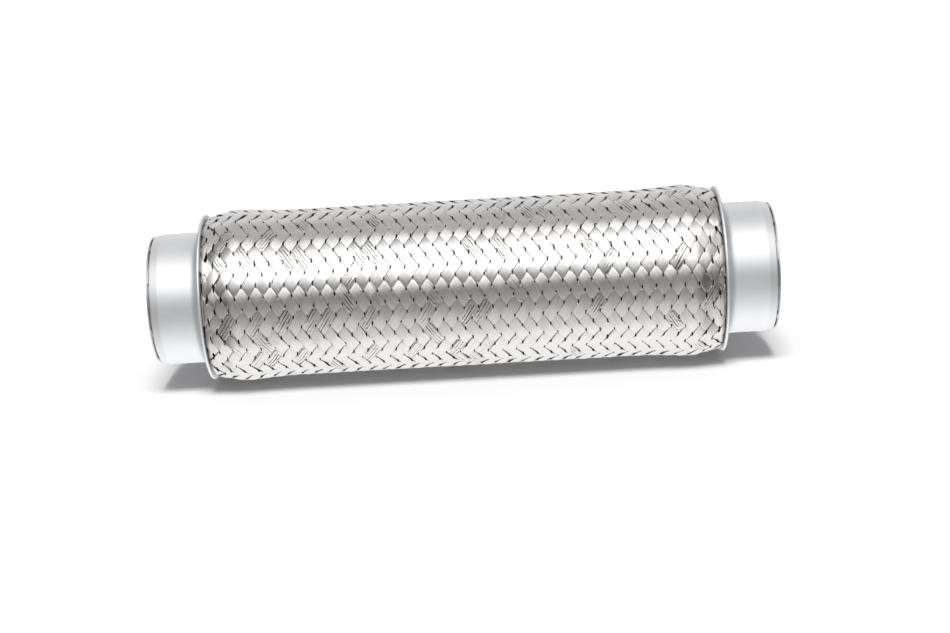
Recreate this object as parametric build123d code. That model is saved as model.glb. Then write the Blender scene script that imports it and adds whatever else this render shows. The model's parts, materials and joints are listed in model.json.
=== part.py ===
from build123d import *

import math
import os

# Metal bellows expansion joint: a braided flexible pipe, 50 mm bore and 260 mm long.
# The pipe lies along X with the inlet at -X and +Z up. The origin is on the pipe's axis, halfway along it.
# All sizes are in millimetres. Every piece is turned about the pipe's axis from an (x, radius) outline.

# Overall sizes
LENGTH = 260.0
BORE_R = 25.0
END_X = LENGTH / 2

# End caps: a plain tube that flares into a thin flange
CAP_R = 27.5
CAP_WALL = 1.1
FLANGE_X = 108.0
FLANGE_R = 34.75
FLARE_R = 4.0
FLANGE_EDGE_R = 0.3
LIP_START_X = 125.6
LIP_STEP = 0.12
LIP_END_X = 128.9
LIP_END_R = 26.8
LIP_CORNER_R = 0.4

# Liner: hooked turns of strip, each free to slide and tilt in the next
STRIP = 0.4
CHANNEL = 1.2
HOOK = 0.9
TURNS = 23
TURN_PITCH = 8.4
STEP_AT = 5.2
TURN_LENGTH = 10.5
HOOK_CENTRE = 1.05
STRIP_BEND_R = 0.15
OUTER_FLAT_R = BORE_R + STRIP + CHANNEL
COLLAR_R = 26.6
COLLAR_WALL = 0.55

# Tack welds across the slit between each cap's lip and the sleeve's collar: (clock angle, arc), degrees
WELD_ARCS = [
    (4, 9),
    (31, 5),
    (58, 16),
    (97, 7),
    (128, 5),
    (151, 11),
    (187, 6),
    (214, 14),
    (255, 8),
    (281, 5),
    (309, 12),
    (338, 6),
]
WELD_R = (26.0, 26.72)
WELD_CLEARANCE = 0.03

# Bellows: two plies in one set of convolutions
PLY = 0.2
PLY_GAP = 0.05
CUFF_R = 25.45
CUFF_END_X = 125.3
CUFF_TAPER_X = (109.0, 102.6)
ROOT_R = 27.5
CREST_R = 33.2
CONVOLUTIONS = 27
CONVOLUTION_PITCH = 7.2
CREST_HALF_WIDTH = 1.4
ARC_FLAT = 0.05

# Braid: the woven sleeve's envelope, swollen towards each cap and drawn in at the flange
BRAID_R = 35.25
BRAID_WALL = 1.25
SWELL_START_X = 76.0
SWELL_BEND_R = 40.0
SWELL = (95.0, 36.5)
SWELL_R = 8.0
BRAID_FACE_X = 106.4
BRAID_FACE_R = 34.1
BRAID_FACE_WALL = 0.9
BRAID_EDGE_R = 1.6
BRAID_FLARE_R = 5.6
BRAID_CUFF_R = (25.95, 26.35)
BRAID_CUFF_END_X = 125.2


def outline(corners):
    """A face from (x, radius, corner rounding) points, joined in turn by straight lines and tangent arcs."""
    edges = []
    starts, ends, arcs = [], [], []
    for n, (x, r, rounding) in enumerate(corners):
        here = Vector(x, 0, r)
        before = Vector(corners[n - 1][0], 0, corners[n - 1][1])
        after_corner = corners[(n + 1) % len(corners)]
        after = Vector(after_corner[0], 0, after_corner[1])
        if not rounding:
            starts.append(here)
            ends.append(here)
            arcs.append(None)
            continue
        back = (before - here).normalized()
        on = (after - here).normalized()
        half = math.acos(max(-1.0, min(1.0, back.dot(on)))) / 2
        reach = rounding / math.tan(half)
        middle = (back + on).normalized() * (rounding / math.sin(half) - rounding)
        starts.append(here + back * reach)
        ends.append(here + on * reach)
        arcs.append(here + middle)
    for n in range(len(corners)):
        if arcs[n] is not None:
            edges.append(Edge.make_three_point_arc(starts[n], arcs[n], ends[n]))
        follow = starts[(n + 1) % len(corners)]
        if (follow - ends[n]).length > 1e-6:
            edges.append(Edge.make_line(ends[n], follow))
    return Face(Wire(edges))


def turned(corners, arc=360.0):
    """A solid turned about the pipe's axis from an outline."""
    return Solid.revolve(outline(corners), arc, Axis.X)


def flipped(corners):
    """The same outline at the pipe's other end."""
    return [(-x, r, rounding) for x, r, rounding in reversed(corners)]


def end_cap():
    """The inlet cap: lip, tube, flare and flange."""
    lip_wall = LIP_END_R - LIP_CORNER_R * 2
    inner_r = CAP_R - CAP_WALL
    return [
        (-LIP_END_X, lip_wall - LIP_STEP, 0),
        (-LIP_END_X, LIP_END_R, LIP_CORNER_R),
        (-LIP_START_X, CAP_R - LIP_STEP, 0),
        (-LIP_START_X, CAP_R, 0),
        (-FLANGE_X, CAP_R, FLARE_R),
        (-FLANGE_X, FLANGE_R, FLANGE_EDGE_R),
        (-FLANGE_X + CAP_WALL, FLANGE_R, FLANGE_EDGE_R),
        (-FLANGE_X + CAP_WALL, inner_r, FLARE_R + CAP_WALL),
        (-LIP_START_X, inner_r, 0),
        (-LIP_END_X + CAP_WALL, lip_wall - LIP_STEP, 0),
    ]


def collar(bore_r):
    """The sleeve's turned-out mouth, from its outside round to its bore."""
    return [
        (-END_X + COLLAR_WALL, bore_r + STRIP, STRIP_BEND_R),
        (-END_X + COLLAR_WALL, COLLAR_R, 0),
        (-END_X, COLLAR_R, STRIP_BEND_R),
        (-END_X, bore_r, STRIP_BEND_R + STRIP / 2),
    ]


def outer_hook(start):
    """The step wall, outer flat and inward hook of a turn that starts at x = start."""
    wall = start + STEP_AT
    tip = start + TURN_LENGTH
    return [
        (wall + STRIP, BORE_R, STRIP_BEND_R),
        (wall + STRIP, OUTER_FLAT_R, 0),
        (tip - STRIP, OUTER_FLAT_R, 0),
        (tip - STRIP, OUTER_FLAT_R - HOOK, 0),
        (tip, OUTER_FLAT_R - HOOK, 0),
        (tip, OUTER_FLAT_R + STRIP, STRIP_BEND_R),
        (wall, OUTER_FLAT_R + STRIP, STRIP_BEND_R),
        (wall, BORE_R + STRIP, 0),
    ]


def inner_hook(start):
    """The outward hook of a turn that starts at x = start, from its inside round to its bore."""
    return [
        (start + STRIP, BORE_R + STRIP, 0),
        (start + STRIP, BORE_R + STRIP + HOOK, 0),
        (start, BORE_R + STRIP + HOOK, 0),
        (start, BORE_R, STRIP_BEND_R),
    ]


def turn_start(number):
    """Where liner turn `number` starts. Turn 0 is the inlet sleeve and the turn after the last is the outlet's."""
    middle = (TURNS + 2) / 2
    return (number - middle) * TURN_PITCH - HOOK_CENTRE


def liner_turn(number):
    start = turn_start(number)
    return outer_hook(start) + inner_hook(start)


def inlet_sleeve():
    return outer_hook(turn_start(0)) + collar(BORE_R)


def outlet_sleeve():
    return flipped(collar(BORE_R)) + inner_hook(turn_start(TURNS + 1))


def bellows_side(offset):
    """One side of a ply, `offset` outside the bellows' innermost surface, from inlet to outlet."""
    half = CREST_HALF_WIDTH + offset
    crest_arc = half - ARC_FLAT
    root_arc = CONVOLUTION_PITCH / 2 - half - ARC_FLAT
    root, crest = ROOT_R + offset, CREST_R + offset
    first, last = CUFF_TAPER_X
    cuff = [(-CUFF_END_X, CUFF_R + offset, 0), (-first, CUFF_R + offset, 3.0), (-last, root, 2.0)]
    waves = []
    for n in range(CONVOLUTIONS):
        x = (n - (CONVOLUTIONS - 1) / 2) * CONVOLUTION_PITCH
        waves.append((x - half, root, root_arc))
        waves.append((x - half, crest, crest_arc))
        waves.append((x + half, crest, crest_arc))
        waves.append((x + half, root, root_arc))
    return cuff + waves + flipped(cuff)


def bellows_ply(offset):
    inside = bellows_side(offset)
    outside = bellows_side(offset + PLY)
    return outside + inside[::-1]


def braid_side(cuff_r, inset, inset_at_face, edge_r, swell_r, bend_r):
    """The inlet half of one side of the braid, `inset` inside its outer surface, from its cuff to its barrel."""
    face_x = BRAID_FACE_X - inset_at_face
    swell_x, swell_top = SWELL
    return [
        (-BRAID_CUFF_END_X, cuff_r, 0),
        (-face_x, cuff_r, BRAID_FLARE_R),
        (-face_x, BRAID_FACE_R - inset, edge_r),
        (-swell_x, swell_top - inset, swell_r),
        (-SWELL_START_X, BRAID_R - inset, bend_r),
    ]


def braid():
    inner_r, outer_r = BRAID_CUFF_R
    outside = braid_side(outer_r, 0, 0, BRAID_EDGE_R, SWELL_R, SWELL_BEND_R)
    inside = braid_side(
        inner_r,
        BRAID_WALL,
        BRAID_FACE_WALL,
        BRAID_EDGE_R - BRAID_FACE_WALL,
        SWELL_R - BRAID_WALL,
        SWELL_BEND_R + BRAID_WALL,
    )
    return outside + flipped(outside) + inside_back(inside)


def inside_back(inside):
    """The braid's inner side, from the outlet back to the inlet."""
    return [(-x, r, rounding) for x, r, rounding in inside] + inside[::-1]


def tack_welds(side):
    """Short beads between a cap's lip and the sleeve's collar. side is -1 at the inlet and +1 at the outlet."""
    low, high = WELD_R
    near = -LIP_END_X - WELD_CLEARANCE
    far = -END_X + COLLAR_WALL + WELD_CLEARANCE
    corners = [(far, low, 0), (far, high, 0.1), (near, high, 0.1), (near, low, 0)]
    if side > 0:
        corners = flipped(corners)
    beads = []
    for clock, arc in WELD_ARCS:
        bead = turned(corners, arc)
        beads.append(bead.rotate(Axis.X, clock * side))
    return Compound(children=beads)


def save(name, shape):
    shape.label = name
    export_step(shape, f"parts/{name}.step")


def main():
    os.makedirs("parts", exist_ok=True)
    cap = end_cap()
    save("inlet_end_cap", turned(cap))
    save("outlet_end_cap", turned(flipped(cap)))
    save("inlet_liner_sleeve", turned(inlet_sleeve()))
    save("outlet_liner_sleeve", turned(outlet_sleeve()))
    save("bellows_inner_ply", turned(bellows_ply(0)))
    save("bellows_outer_ply", turned(bellows_ply(PLY + PLY_GAP)))
    save("outer_braid", turned(braid()))
    save("inlet_tack_welds", tack_welds(-1))
    save("outlet_tack_welds", tack_welds(1))
    for number in range(1, TURNS + 1):
        save(f"liner_turn_{number:02d}", turned(liner_turn(number)))


main()
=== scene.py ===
"""Looks for the metal bellows expansion joint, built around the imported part. Metres, in the part's own frame."""

import json
import math

import bpy
import numpy as np
from mathutils import Matrix, Vector

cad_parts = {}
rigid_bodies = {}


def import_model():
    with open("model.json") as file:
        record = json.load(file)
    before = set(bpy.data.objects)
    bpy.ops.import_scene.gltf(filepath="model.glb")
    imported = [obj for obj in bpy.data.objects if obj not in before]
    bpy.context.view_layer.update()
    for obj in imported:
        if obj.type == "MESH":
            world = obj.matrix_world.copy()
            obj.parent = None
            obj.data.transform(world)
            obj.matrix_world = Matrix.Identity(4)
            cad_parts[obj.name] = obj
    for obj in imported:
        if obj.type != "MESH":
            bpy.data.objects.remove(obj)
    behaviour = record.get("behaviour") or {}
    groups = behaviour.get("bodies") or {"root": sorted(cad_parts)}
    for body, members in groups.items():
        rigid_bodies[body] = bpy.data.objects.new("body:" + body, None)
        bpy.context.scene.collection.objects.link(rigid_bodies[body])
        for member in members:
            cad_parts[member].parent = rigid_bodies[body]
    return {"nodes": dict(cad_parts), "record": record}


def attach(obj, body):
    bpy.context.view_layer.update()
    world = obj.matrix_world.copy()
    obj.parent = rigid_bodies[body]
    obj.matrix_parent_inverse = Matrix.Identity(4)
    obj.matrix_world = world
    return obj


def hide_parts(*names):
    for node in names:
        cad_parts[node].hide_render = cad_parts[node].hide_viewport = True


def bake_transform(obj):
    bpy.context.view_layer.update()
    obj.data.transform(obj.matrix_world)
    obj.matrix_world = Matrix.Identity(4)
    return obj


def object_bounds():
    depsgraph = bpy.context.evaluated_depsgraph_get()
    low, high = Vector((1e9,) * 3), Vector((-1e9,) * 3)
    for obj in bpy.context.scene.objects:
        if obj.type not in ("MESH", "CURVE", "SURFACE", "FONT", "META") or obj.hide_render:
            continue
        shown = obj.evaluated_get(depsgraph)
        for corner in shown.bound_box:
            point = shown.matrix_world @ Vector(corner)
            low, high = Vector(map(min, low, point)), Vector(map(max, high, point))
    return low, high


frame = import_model()
BOX_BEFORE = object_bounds()
SEED = 615
MM = 0.001

# Camera, fitted to the outlines of the real one
CAMERA_DISTANCE = 0.798
CAMERA_ELEVATION = math.radians(12.0)
CAMERA_ALONG = 0.0098
CAMERA_YAW = -0.0074
CAMERA_PITCH = -0.0183
CAMERA_ROLL = -0.0565
LENS_MM = 71.4
SENSOR_MM = 36.0


def make_camera():
    """A camera at the fitted place, turned by small yaw, pitch and roll from a square look at the axis."""
    lean = Matrix.Rotation(-CAMERA_ELEVATION, 3, "X")
    right, ahead, up = (lean @ Vector(v) for v in ((1, 0, 0), (0, 1, 0), (0, 0, 1)))
    place = Vector((CAMERA_ALONG, 0, 0)) - ahead * CAMERA_DISTANCE
    yaw_ahead = math.cos(CAMERA_YAW) * ahead + math.sin(CAMERA_YAW) * right
    yaw_right = math.cos(CAMERA_YAW) * right - math.sin(CAMERA_YAW) * ahead
    look = math.cos(CAMERA_PITCH) * yaw_ahead + math.sin(CAMERA_PITCH) * up
    pitch_up = math.cos(CAMERA_PITCH) * up - math.sin(CAMERA_PITCH) * yaw_ahead
    roll_right = math.cos(CAMERA_ROLL) * yaw_right + math.sin(CAMERA_ROLL) * pitch_up
    roll_up = math.cos(CAMERA_ROLL) * pitch_up - math.sin(CAMERA_ROLL) * yaw_right
    data = bpy.data.cameras.new("camera")
    data.lens = LENS_MM
    data.sensor_width = SENSOR_MM
    data.clip_end = 50
    camera = bpy.data.objects.new("camera", data)
    axes = Matrix((roll_right, roll_up, -look)).transposed()
    camera.matrix_world = Matrix.Translation(place) @ axes.to_4x4()
    bpy.context.scene.collection.objects.link(camera)
    bpy.context.scene.camera = camera


make_camera()

# The chain of bodies, from the inlet to the outlet, and where each joint's stretch of pipe begins and ends
JOINTS = frame["record"]["behaviour"]["joints"]
BODIES = [JOINTS[0]["parent"]] + [j["child"] for j in JOINTS]
HINGE_X = [j["pos_m"][0] / MM for j in JOINTS if j["type"] == "hinge"]
PITCH = HINGE_X[1] - HINGE_X[0]
SPAN = PITCH * len(JOINTS) / 2
BORDERS = [-SPAN + PITCH * n for n in range(len(JOINTS) + 1)]
FAR_SIDE_FROM = 7

# Braid, in millimetres
CARRIERS = 24
CELL = 5.8
RIBBON = 4.92
THICK = 0.28
LIFT = 0.40
DIVE = 0.05
DIVE_SHARPNESS = 7.0
MID_R = 34.5
TWIST = 2 * math.pi / (CARRIERS * CELL)
LEAN = math.atan(TWIST * MID_R)
PEAK = 0.992
LAG = 0.03
PINCH = 0.22
PINCH_REACH = 0.12
ROWS_PER_JOINT = 32
END_ROWS = 42
PHASE = math.radians(5.5) + CAMERA_ELEVATION
WIRES = 9
SPREADS = 4
# a ribbon's section: places across it, and heights in thicknesses
SECTION = [
    (-1.0, 0.22),
    (-0.95, 0.44),
    (-0.87, 0.48),
    (-0.4, 0.5),
    (0.0, 0.5),
    (0.4, 0.5),
    (0.87, 0.48),
    (0.95, 0.44),
    (1.0, 0.22),
    (0.96, -0.45),
    (-0.96, -0.45),
]

# Bellows, in millimetres
CONVOLUTIONS = 27
CONVOLUTION = 7.2
ROOT_R = 27.5
CREST_R = 33.2
HALF_CREST = 1.4
PLY = 0.2
OUTER_PLY_AT = 0.25
AROUND = 96


def smooth(low, high, value):
    t = np.clip((value - low) / (high - low), 0, 1)
    return t * t * (3 - 2 * t)


def link_mesh(name, points, faces, normals=None):
    mesh = bpy.data.meshes.new(name)
    mesh.from_pydata(np.asarray(points).tolist(), [], faces)
    mesh.polygons.foreach_set("use_smooth", [True] * len(mesh.polygons))
    mesh.update()
    if normals is not None:
        mesh.normals_split_custom_set_from_vertices(np.asarray(normals).tolist())
    obj = bpy.data.objects.new(name, mesh)
    bpy.context.scene.collection.objects.link(obj)
    return obj


def ride_chain(obj, number):
    """Piece 0 rides on the inlet end and the last on the outlet end. Each other piece is only baked where it stands and
    does not bend: the bodies and borders on either side of its joint are worked out, and from FAR_SIDE_FROM on swapped
    to the outlet's side, but they are not used."""
    if number == 0:
        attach(obj, BODIES[0])
    elif number == len(BODIES):
        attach(obj, BODIES[-1])
    else:
        near = (BODIES[number - 1], (BORDERS[number - 1] * MM, 0, 0))
        far = (BODIES[number], (BORDERS[number] * MM, 0, 0))
        if number >= FAR_SIDE_FROM:
            near, far = far, near
        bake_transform(obj)


# ---------------------------------------------------------------- materials


class Graph:
    """Short names for building a metal's nodes."""

    def __init__(self, name):
        self.material = bpy.data.materials.new(name)
        self.material.use_nodes = True
        self.tree = self.material.node_tree
        self.shader = self.tree.nodes["Principled BSDF"]

    def node(self, kind, **settings):
        made = self.tree.nodes.new(kind)
        for key, value in settings.items():
            setattr(made, key, value)
        return made

    def wire(self, source, target):
        self.tree.links.new(source, target)

    def math(self, operation, a, b=None):
        made = self.node("ShaderNodeMath", operation=operation)
        for socket, value in zip(made.inputs, (a, b)):
            if value is None:
                continue
            if isinstance(value, (int, float)):
                socket.default_value = value
            else:
                self.wire(value, socket)
        return made.outputs[0]

    def noise(self, vector, scale, detail=3.0, rough=0.55):
        made = self.node("ShaderNodeTexNoise")
        made.inputs["Scale"].default_value = scale
        made.inputs["Detail"].default_value = detail
        made.inputs["Roughness"].default_value = rough
        self.wire(vector, made.inputs["Vector"])
        return made.outputs["Fac"]

    def ramp(self, value, stops):
        made = self.node("ShaderNodeValToRGB")
        for n, (place, colour) in enumerate(stops):
            stops_here = made.color_ramp.elements
            stop = stops_here[n] if n < 2 else stops_here.new(place)
            stop.position = place
            stop.color = colour if len(colour) == 4 else (*colour, 1)
        self.wire(value, made.inputs["Fac"])
        return made.outputs["Color"]

    def spread(self, value, low, high):
        """value, from 0..1, carried to low..high."""
        made = self.node("ShaderNodeMapRange")
        made.inputs["To Min"].default_value = low
        made.inputs["To Max"].default_value = high
        self.wire(value, made.inputs["Value"])
        return made.outputs["Result"]

    def stretched(self, scale):
        """Object coordinates, scaled by axis."""
        coordinates = self.node("ShaderNodeTexCoord")
        mapping = self.node("ShaderNodeMapping")
        mapping.inputs["Scale"].default_value = scale
        self.wire(coordinates.outputs["Object"], mapping.inputs["Vector"])
        return mapping.outputs["Vector"]

    def bump(self, height, distance, strength=1.0):
        made = self.node("ShaderNodeBump")
        made.inputs["Distance"].default_value = distance
        made.inputs["Strength"].default_value = strength
        self.wire(height, made.inputs["Height"])
        self.wire(made.outputs["Normal"], self.shader.inputs["Normal"])


def grey(level, warm=0.0):
    return (level * (1 + warm), level, level * (1 - warm))


def satin_steel(name, dark, light, rough, scale=(900, 120, 120), bump=0.00001, warm=0.0):
    """Sheet steel with faint drawn lines round the pipe, soft blotches and small marks."""
    g = Graph(name)
    g.shader.inputs["Metallic"].default_value = 1.0
    lines = g.noise(g.stretched(scale), 1.0, 2.0)
    blotch = g.noise(g.stretched((60, 60, 60)), 1.0, 4.0)
    mixed = g.math("ADD", g.math("MULTIPLY", lines, 0.4), g.math("MULTIPLY", blotch, 0.6))
    g.wire(g.ramp(mixed, [(0.3, grey(dark, warm)), (0.7, grey(light, warm))]), g.shader.inputs["Base Color"])
    g.wire(g.spread(mixed, *rough), g.shader.inputs["Roughness"])
    g.bump(g.math("ADD", lines, blotch), bump)
    return g.material


def braid_wire():
    """Flat ribbons of drawn wire. The weave attribute holds the distance along a ribbon, the place across it and how
    far its wires have spread. Where a float's wires have spread, the gaps between them are painted near-black as
    painted shade.
    """
    g = Graph("braid_wire")
    g.shader.inputs["Metallic"].default_value = 1.0
    weave = g.node("ShaderNodeAttribute", attribute_name="weave")
    parts = g.node("ShaderNodeSeparateXYZ")
    g.wire(weave.outputs["Vector"], parts.inputs["Vector"])
    along, across, loose = parts.outputs
    turns = g.math("MULTIPLY", across, math.pi * WIRES / 2)
    ridge = g.math("ABSOLUTE", g.math("SINE", turns))
    streak_at = g.node("ShaderNodeCombineXYZ")
    g.wire(g.math("MULTIPLY", along, 0.12), streak_at.inputs[0])
    g.wire(g.math("MULTIPLY", across, 9.0), streak_at.inputs[1])
    streak = g.noise(streak_at.outputs[0], 1.0, 2.0)
    bundles = g.math("ADD", g.math("MULTIPLY", across, math.pi * SPREADS / 2), g.math("MULTIPLY", streak, 2.5))
    open_at = g.math("ABSOLUTE", g.math("SINE", bundles))
    gate = g.noise(streak_at.outputs[0], 0.8, 1.0)
    # painted shade: the gaps between a loose float's spread wires are darkened towards near-black in the base colour
    painted_gap_shade = g.math("LESS_THAN", open_at, g.math("MULTIPLY", loose, g.math("MULTIPLY", gate, 0.9)))
    tone = g.math("SUBTRACT", streak, g.math("MULTIPLY", painted_gap_shade, 0.8))
    colour = g.ramp(tone, [(0.0, grey(0.04)), (0.3, grey(0.66, 0.022)), (0.7, grey(0.80, 0.022))])
    g.wire(colour, g.shader.inputs["Base Color"])
    g.wire(g.spread(streak, 0.11, 0.24), g.shader.inputs["Roughness"])
    g.bump(g.math("ADD", ridge, g.math("MULTIPLY", streak, 0.7)), 0.00002)
    return g.material


CAP_STEEL = satin_steel("cap_steel", 0.90, 0.97, (0.44, 0.54), (60, 60, 60), 0.000004, -0.012)
SLEEVE_STEEL = satin_steel("sleeve_steel", 0.55, 0.72, (0.25, 0.4))
WELD_STEEL = satin_steel("weld_steel", 0.45, 0.7, (0.25, 0.45), (2500, 2500, 2500), 0.00006)
# The bellows' steel is painted dark (0.16 to 0.26) as painted shade: it shows only through the braid's pinholes, and
# its darkness stands for the shade inside the braid.
BELLOWS_STEEL_PAINTED_SHADE = satin_steel("bellows_steel", 0.16, 0.26, (0.25, 0.4))
LINER_STEEL = satin_steel("liner_steel", 0.5, 0.66, (0.25, 0.4), (1500, 60, 60))
BRAID_WIRE = braid_wire()

CAD_LOOKS = {"cap": CAP_STEEL, "weld": WELD_STEEL, "sleeve": SLEEVE_STEEL, "turn": LINER_STEEL}


def dress_frame():
    for name, obj in frame["nodes"].items():
        for word, material in CAD_LOOKS.items():
            if word in name:
                obj.data.materials.clear()
                obj.data.materials.append(material)
                break


# ---------------------------------------------------------------- braid


def braid_path():
    """Rows along the braid as (x, radius, heading), evenly spaced by length: the barrel, a shoulder at each end and the curl in behind the flange."""
    step = PITCH / ROWS_PER_JOINT
    half = ROWS_PER_JOINT * len(JOINTS) // 2 + END_ROWS
    length = np.arange(half + 1) * step
    climb = -0.066 * smooth(70, 80, length)
    droop = 0.276 * smooth(90, 98, length)
    curl = (math.pi / 2 - 0.21) * smooth(105.3, 107.7, length)
    heading = climb + droop + curl
    between = (heading[1:] + heading[:-1]) / 2
    x = np.concatenate([[0], np.cumsum(np.cos(between)) * step])
    r = MID_R - np.concatenate([[0], np.cumsum(np.sin(between)) * step])
    x = np.concatenate([-x[:0:-1], x])
    r = np.concatenate([r[:0:-1], r])
    heading = np.concatenate([-heading[:0:-1], heading])
    length = np.concatenate([-length[:0:-1], length])
    return length, x, r, heading


def wander(rng, place, amount, spacing):
    """A smooth random walk along a ribbon."""
    knots = rng.normal(0, amount, int(np.ptp(place) / spacing) + 4)
    t = (place - place.min()) / spacing
    n = t.astype(int)
    w = t - n
    w = w * w * (3 - 2 * w)
    return knots[n] * (1 - w) + knots[n + 1] * w


def float_values(rng, q, chance, low, high):
    """One random value for each float of a ribbon, zero for most, fading at the float's ends."""
    first = int(np.floor(q.min() / 4)) - 1
    count = int(np.ptp(q) / 4) + 4
    values = np.where(rng.random(count) < chance, rng.uniform(low, high, count), 0)
    n = np.floor((q + 0.5) / 4).astype(int) - first
    inside = np.cos(np.clip(((q - 0.5 + 2) % 4 - 2) / 1.25, -1, 1) * math.pi / 2)
    return values[np.clip(n, 0, count - 1)] * np.sqrt(np.clip(inside, 0, 1))


def ribbon(rng, hand, number, path):
    """One ribbon's grid of points, normals and weave values: rows along it, and a closed loop of points across it."""
    length, x, r, heading = path
    turn = 2 * math.pi / CARRIERS
    v, rise = np.array(SECTION).T
    rise = rise * THICK
    end = smooth(94, 104, np.abs(length))
    drift = wander(rng, length, 0.10, 22) + wander(rng, length, 0.5, 6) * end
    centre = PHASE + number * turn + hand * TWIST * length + drift / MID_R
    # where this ribbon's middle lies between the ribbons of the other hand
    crossing = (centre + hand * TWIST * length - PHASE) / turn
    q = number + crossing
    phase = q if hand > 0 else q + 2
    corner = (phase + 0.5) % 1 - 0.5
    nearest = np.round(phase).astype(int)
    sizes = rng.uniform(0.5, 1.4, np.ptp(nearest) + 1)[nearest - nearest.min()]
    squeeze = 1 - PINCH * sizes * (1 + 0.9 * end) * np.exp(-((corner / PINCH_REACH) ** 4))
    width = RIBBON * (1 + wander(rng, length, 0.012, 15) - 0.2 * end * rng.random()) * squeeze
    half_angle = width / math.cos(LEAN) / MID_R / 2
    angle = centre[:, None] + half_angle[:, None] * v[None, :]
    own = phase[:, None] + (angle - centre[:, None]) / turn
    # floats are straight-sided, and each climbs a little late, so its upper end lies nearly flush
    roof = np.arcsin(PEAK * np.cos(2 * math.pi * (own - 0.5 - LAG) / 4)) / math.asin(PEAK)
    dive = np.tanh(DIVE_SHARPNESS * np.cos(2 * math.pi * (own - 0.5) / 4))
    height = LIFT * roof + DIVE * dive
    roll = wander(rng, length, 0.07, 5)[:, None] * v[None, :]
    puff = wander(rng, length, 0.035, 11)[:, None]
    height = height + rise[None, :] + roll + puff
    height = height + (wander(rng, length, 0.16, 6) * end)[:, None]
    out = np.cos(heading)[:, None]
    over = np.sin(heading)[:, None]
    radius = r[:, None] + height * out
    px = x[:, None] + height * over
    points = np.stack([px, -radius * np.cos(angle), radius * np.sin(angle)], -1) * MM
    along = length[:, None] / math.cos(LEAN) + 0 * v[None, :]
    place = v[None, :] + 2 * number + 100 * (hand > 0) + 0 * along
    # how far each float's wires have spread; the material paints the gaps between spread wires as shade
    loose = float_values(rng, phase, 0.15, 0.3, 0.9)[:, None] + 0 * v[None, :]
    weave = np.stack([along, place, loose], -1)
    return points, grid_normals(points), weave


def grid_normals(points):
    """Outward normals of a grid whose second index closes on itself."""
    down = np.gradient(points, axis=0)
    ahead = np.roll(points, -1, axis=1) - points
    behind = points - np.roll(points, 1, axis=1)
    flat = []
    for side in (ahead, behind):
        n = np.cross(down, side)
        flat.append(n / np.maximum(np.linalg.norm(n, axis=2, keepdims=True), 1e-12))
    normals = flat[0] + flat[1]
    return normals / np.maximum(np.linalg.norm(normals, axis=2, keepdims=True), 1e-12)


def make_braid():
    rng = np.random.default_rng(SEED)
    path = braid_path()
    ribbons = [ribbon(rng, hand, n, path) for hand in (1, -1) for n in range(CARRIERS)]
    rows = len(path[0])
    cuts = [0] + [END_ROWS + ROWS_PER_JOINT * n for n in range(len(JOINTS) + 1)] + [rows - 1]
    for piece in range(len(cuts) - 1):
        first, last = cuts[piece], cuts[piece + 1] + 1
        points, normals, weave, faces = [], [], [], []
        start = 0
        for p, n, w in ribbons:
            count, loop = last - first, p.shape[1]
            index = start + np.arange(count * loop).reshape(count, loop)
            beside = np.roll(index, -1, axis=1)
            quads = np.stack([index[:-1], index[1:], beside[1:], beside[:-1]], -1).reshape(-1, 4)
            faces += quads.tolist()
            points.append(p[first:last].reshape(-1, 3))
            normals.append(n[first:last].reshape(-1, 3))
            weave.append(w[first:last].reshape(-1, 3))
            start += count * loop
        obj = link_mesh(f"braid_{piece:02d}", np.concatenate(points), faces, np.concatenate(normals))
        attribute = obj.data.attributes.new("weave", "FLOAT_VECTOR", "POINT")
        attribute.data.foreach_set("vector", np.concatenate(weave).astype(np.float32).ravel())
        obj.data.materials.append(BRAID_WIRE)
        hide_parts("outer_braid")
        ride_chain(obj, piece)


# ---------------------------------------------------------------- bellows


def bellows_line(offset):
    """The side of a ply at `offset` outside the bellows' innermost surface, as (x, radius) points from end to end."""
    half = HALF_CREST + offset
    root_half = CONVOLUTION / 2 - half
    steps = np.linspace(0, math.pi / 2, 6)
    line = [(-125.3, 25.45 + offset), (-109.0, 25.45 + offset), (-102.6, ROOT_R + offset)]
    for n in range(CONVOLUTIONS):
        middle = (n - (CONVOLUTIONS - 1) / 2) * CONVOLUTION
        low, high = ROOT_R + offset + root_half, CREST_R + offset - half
        line += [(middle - half - root_half + root_half * math.sin(a), low - root_half * math.cos(a)) for a in steps]
        line += [(middle - half * math.cos(a), high + half * math.sin(a)) for a in steps]
        line += [(middle + half * math.sin(a), high + half * math.cos(a)) for a in steps]
        line += [(middle + half + root_half * (1 - math.cos(a)), low - root_half * math.sin(a)) for a in steps]
    line += [(102.6, ROOT_R + offset), (109.0, 25.45 + offset), (125.3, 25.45 + offset)]
    return line


def cut_line(line, low, high):
    """The stretch of a line between two values of x, with a point on each border it crosses."""
    kept = [line[0]] if low < line[0][0] else []
    for (x0, r0), (x1, r1) in zip(line, line[1:]):
        for border in (low, high):
            if x0 < border < x1:
                kept.append((border, r0 + (r1 - r0) * (border - x0) / (x1 - x0)))
        if low < x1 < high:
            kept.append((x1, r1))
    return [point for n, point in enumerate(kept) if n == 0 or math.dist(point, kept[n - 1]) > 1e-4]


def tube(name, lines):
    """Surfaces turned about the pipe's axis, one for each line."""
    points, faces, start = [], [], 0
    angles = np.linspace(0, 2 * math.pi, AROUND, endpoint=False)
    for line in lines:
        profile = np.array(line)
        x = np.repeat(profile[:, 0], AROUND)
        r = np.repeat(profile[:, 1], AROUND)
        a = np.tile(angles, len(profile))
        points.append(np.stack([x, -r * np.cos(a), r * np.sin(a)], -1) * MM)
        index = start + np.arange(len(profile) * AROUND).reshape(len(profile), AROUND)
        beside = np.roll(index, -1, axis=1)
        quads = np.stack([index[:-1], index[1:], beside[1:], beside[:-1]], -1).reshape(-1, 4)
        faces += quads.tolist()
        start += len(profile) * AROUND
    return link_mesh(name, np.concatenate(points), faces)


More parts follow.
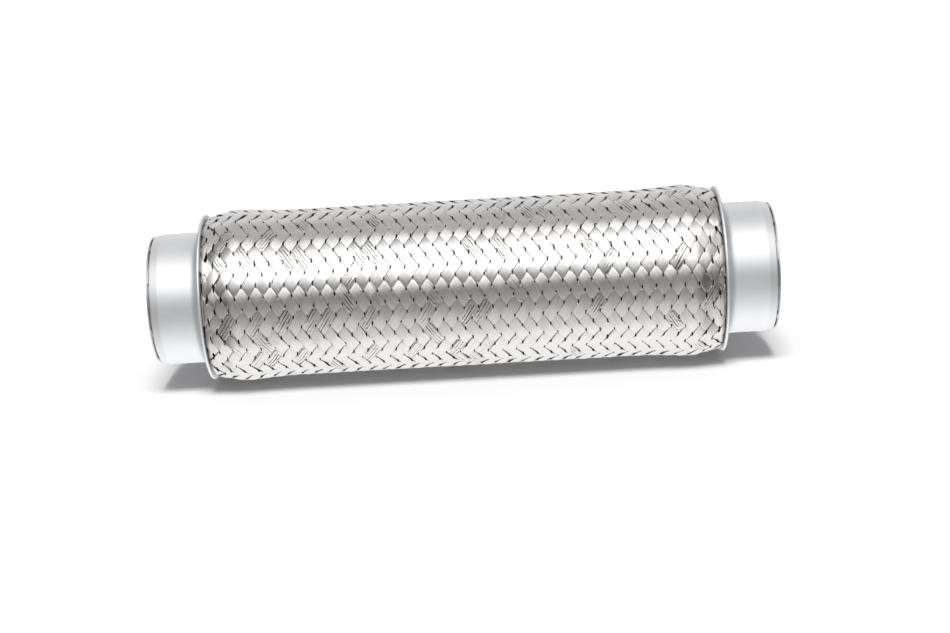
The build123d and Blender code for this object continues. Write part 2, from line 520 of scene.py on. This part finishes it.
def make_bellows():
    borders = [-200.0, *BORDERS, 200.0]
    for node, offset in (("bellows_inner_ply", 0.0), ("bellows_outer_ply", OUTER_PLY_AT)):
        inside, outside = bellows_line(offset), bellows_line(offset + PLY)
        for piece in range(len(borders) - 1):
            low, high = borders[piece], borders[piece + 1]
            lines = [cut_line(outside, low, high), cut_line(inside, low, high)[::-1]]
            obj = tube(f"{node}_{piece:02d}", lines)
            obj.data.materials.append(BELLOWS_STEEL_PAINTED_SHADE)
            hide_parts(node)
            ride_chain(obj, piece)


# ---------------------------------------------------------------- studio


STUDIO_STRENGTH = 1.65


def sky_stops():
    """How bright the studio is at each angle round the pipe's axis: 0 is behind the pipe and low, then the floor in front, the dark room, the softbox, the ceiling and the backdrop."""
    levels = [
        (-180, 0.46),
        (-132, 0.66),
        (-92, 0.72),
        (-76, 0.70),
        (-60, 0.56),
        (-44, 0.46),
        (-28, 0.34),
        (-16, 0.26),
        (-4, 0.18),
        (8, 0.20),
        (17, 0.28),
        (23, 0.95),
        (34, 1.0),
        (60, 1.0),
        (76, 0.92),
        (83, 0.40),
        (96, 0.32),
        (110, 0.34),
        (126, 0.40),
        (140, 0.50),
        (160, 0.54),
        (180, 0.46),
    ]
    return [((angle + 180) / 360, level) for angle, level in levels]


def make_world():
    world = bpy.data.worlds.new("studio")
    bpy.context.scene.world = world
    world.use_nodes = True
    tree = world.node_tree
    shade = tree.nodes["Background"]
    coordinates = tree.nodes.new("ShaderNodeTexCoord")
    parts = tree.nodes.new("ShaderNodeSeparateXYZ")
    tree.links.new(coordinates.outputs["Generated"], parts.inputs[0])
    front = tree.nodes.new("ShaderNodeMath")
    front.operation = "MULTIPLY"
    front.inputs[1].default_value = -1
    tree.links.new(parts.outputs["Y"], front.inputs[0])
    angle = tree.nodes.new("ShaderNodeMath")
    angle.operation = "ARCTAN2"
    tree.links.new(parts.outputs["Z"], angle.inputs[0])
    tree.links.new(front.outputs[0], angle.inputs[1])
    place = tree.nodes.new("ShaderNodeMapRange")
    place.inputs["From Min"].default_value = -math.pi
    place.inputs["From Max"].default_value = math.pi
    tree.links.new(angle.outputs[0], place.inputs["Value"])
    ramp = tree.nodes.new("ShaderNodeValToRGB")
    ramp.color_ramp.interpolation = "EASE"
    for n, (position, level) in enumerate(sky_stops()):
        stop = ramp.color_ramp.elements[n] if n < 2 else ramp.color_ramp.elements.new(position)
        stop.position = position
        stop.color = (level, level, level, 1)
    tree.links.new(place.outputs["Result"], ramp.inputs["Fac"])
    tree.links.new(ramp.outputs["Color"], shade.inputs["Color"])
    sideways = tree.nodes.new("ShaderNodeMath")
    sideways.operation = "ABSOLUTE"
    tree.links.new(parts.outputs["X"], sideways.inputs[0])
    fall = tree.nodes.new("ShaderNodeMapRange")
    fall.interpolation_type = "SMOOTHSTEP"
    fall.inputs["From Min"].default_value = 0.28
    fall.inputs["From Max"].default_value = 0.75
    fall.inputs["To Min"].default_value = STUDIO_STRENGTH
    fall.inputs["To Max"].default_value = STUDIO_STRENGTH * 0.3
    tree.links.new(sideways.outputs[0], fall.inputs["Value"])
    tree.links.new(fall.outputs["Result"], shade.inputs["Strength"])


def make_lamp():
    """A soft lamp overhead. It lights the floor, and the metal sees the studio's angles in its place."""
    data = bpy.data.lights.new("overhead", "SUN")
    data.energy = 5.2
    data.angle = math.radians(22)
    lamp = bpy.data.objects.new("overhead", data)
    lamp.rotation_euler = (math.radians(22), 0, 0)
    lamp.visible_glossy = False
    bpy.context.scene.collection.objects.link(lamp)


def make_floor():
    """A pale floor that curves up into a backdrop. Mirrors see the studio's own angles in its place."""
    floor_z = BOX_BEFORE[0][2]
    bend = 0.6
    rows = [(-20.0, 0.0), (1.2, 0.0)]
    rows += [(1.2 + bend * math.sin(a), bend * (1 - math.cos(a))) for a in np.linspace(0.1, math.pi / 2, 12)]
    rows.append((1.2 + bend, 20.0))
    points = [(x, y, floor_z + z) for y, z in rows for x in (-20.0, 20.0)]
    faces = [(2 * n, 2 * n + 1, 2 * n + 3, 2 * n + 2) for n in range(len(rows) - 1)]
    floor = link_mesh("floor", points, faces)
    g = Graph("floor_paper")
    g.shader.inputs["Roughness"].default_value = 1.0
    g.shader.inputs["Specular IOR Level"].default_value = 0.0
    g.shader.inputs["Base Color"].default_value = (0.44, 0.44, 0.445, 1)
    floor.data.materials.append(g.material)
    floor.visible_glossy = False
    floor.visible_shadow = False


dress_frame()
make_braid()
make_bellows()
make_world()
make_lamp()
make_floor()
bpy.context.scene.view_settings.view_transform = "Standard"
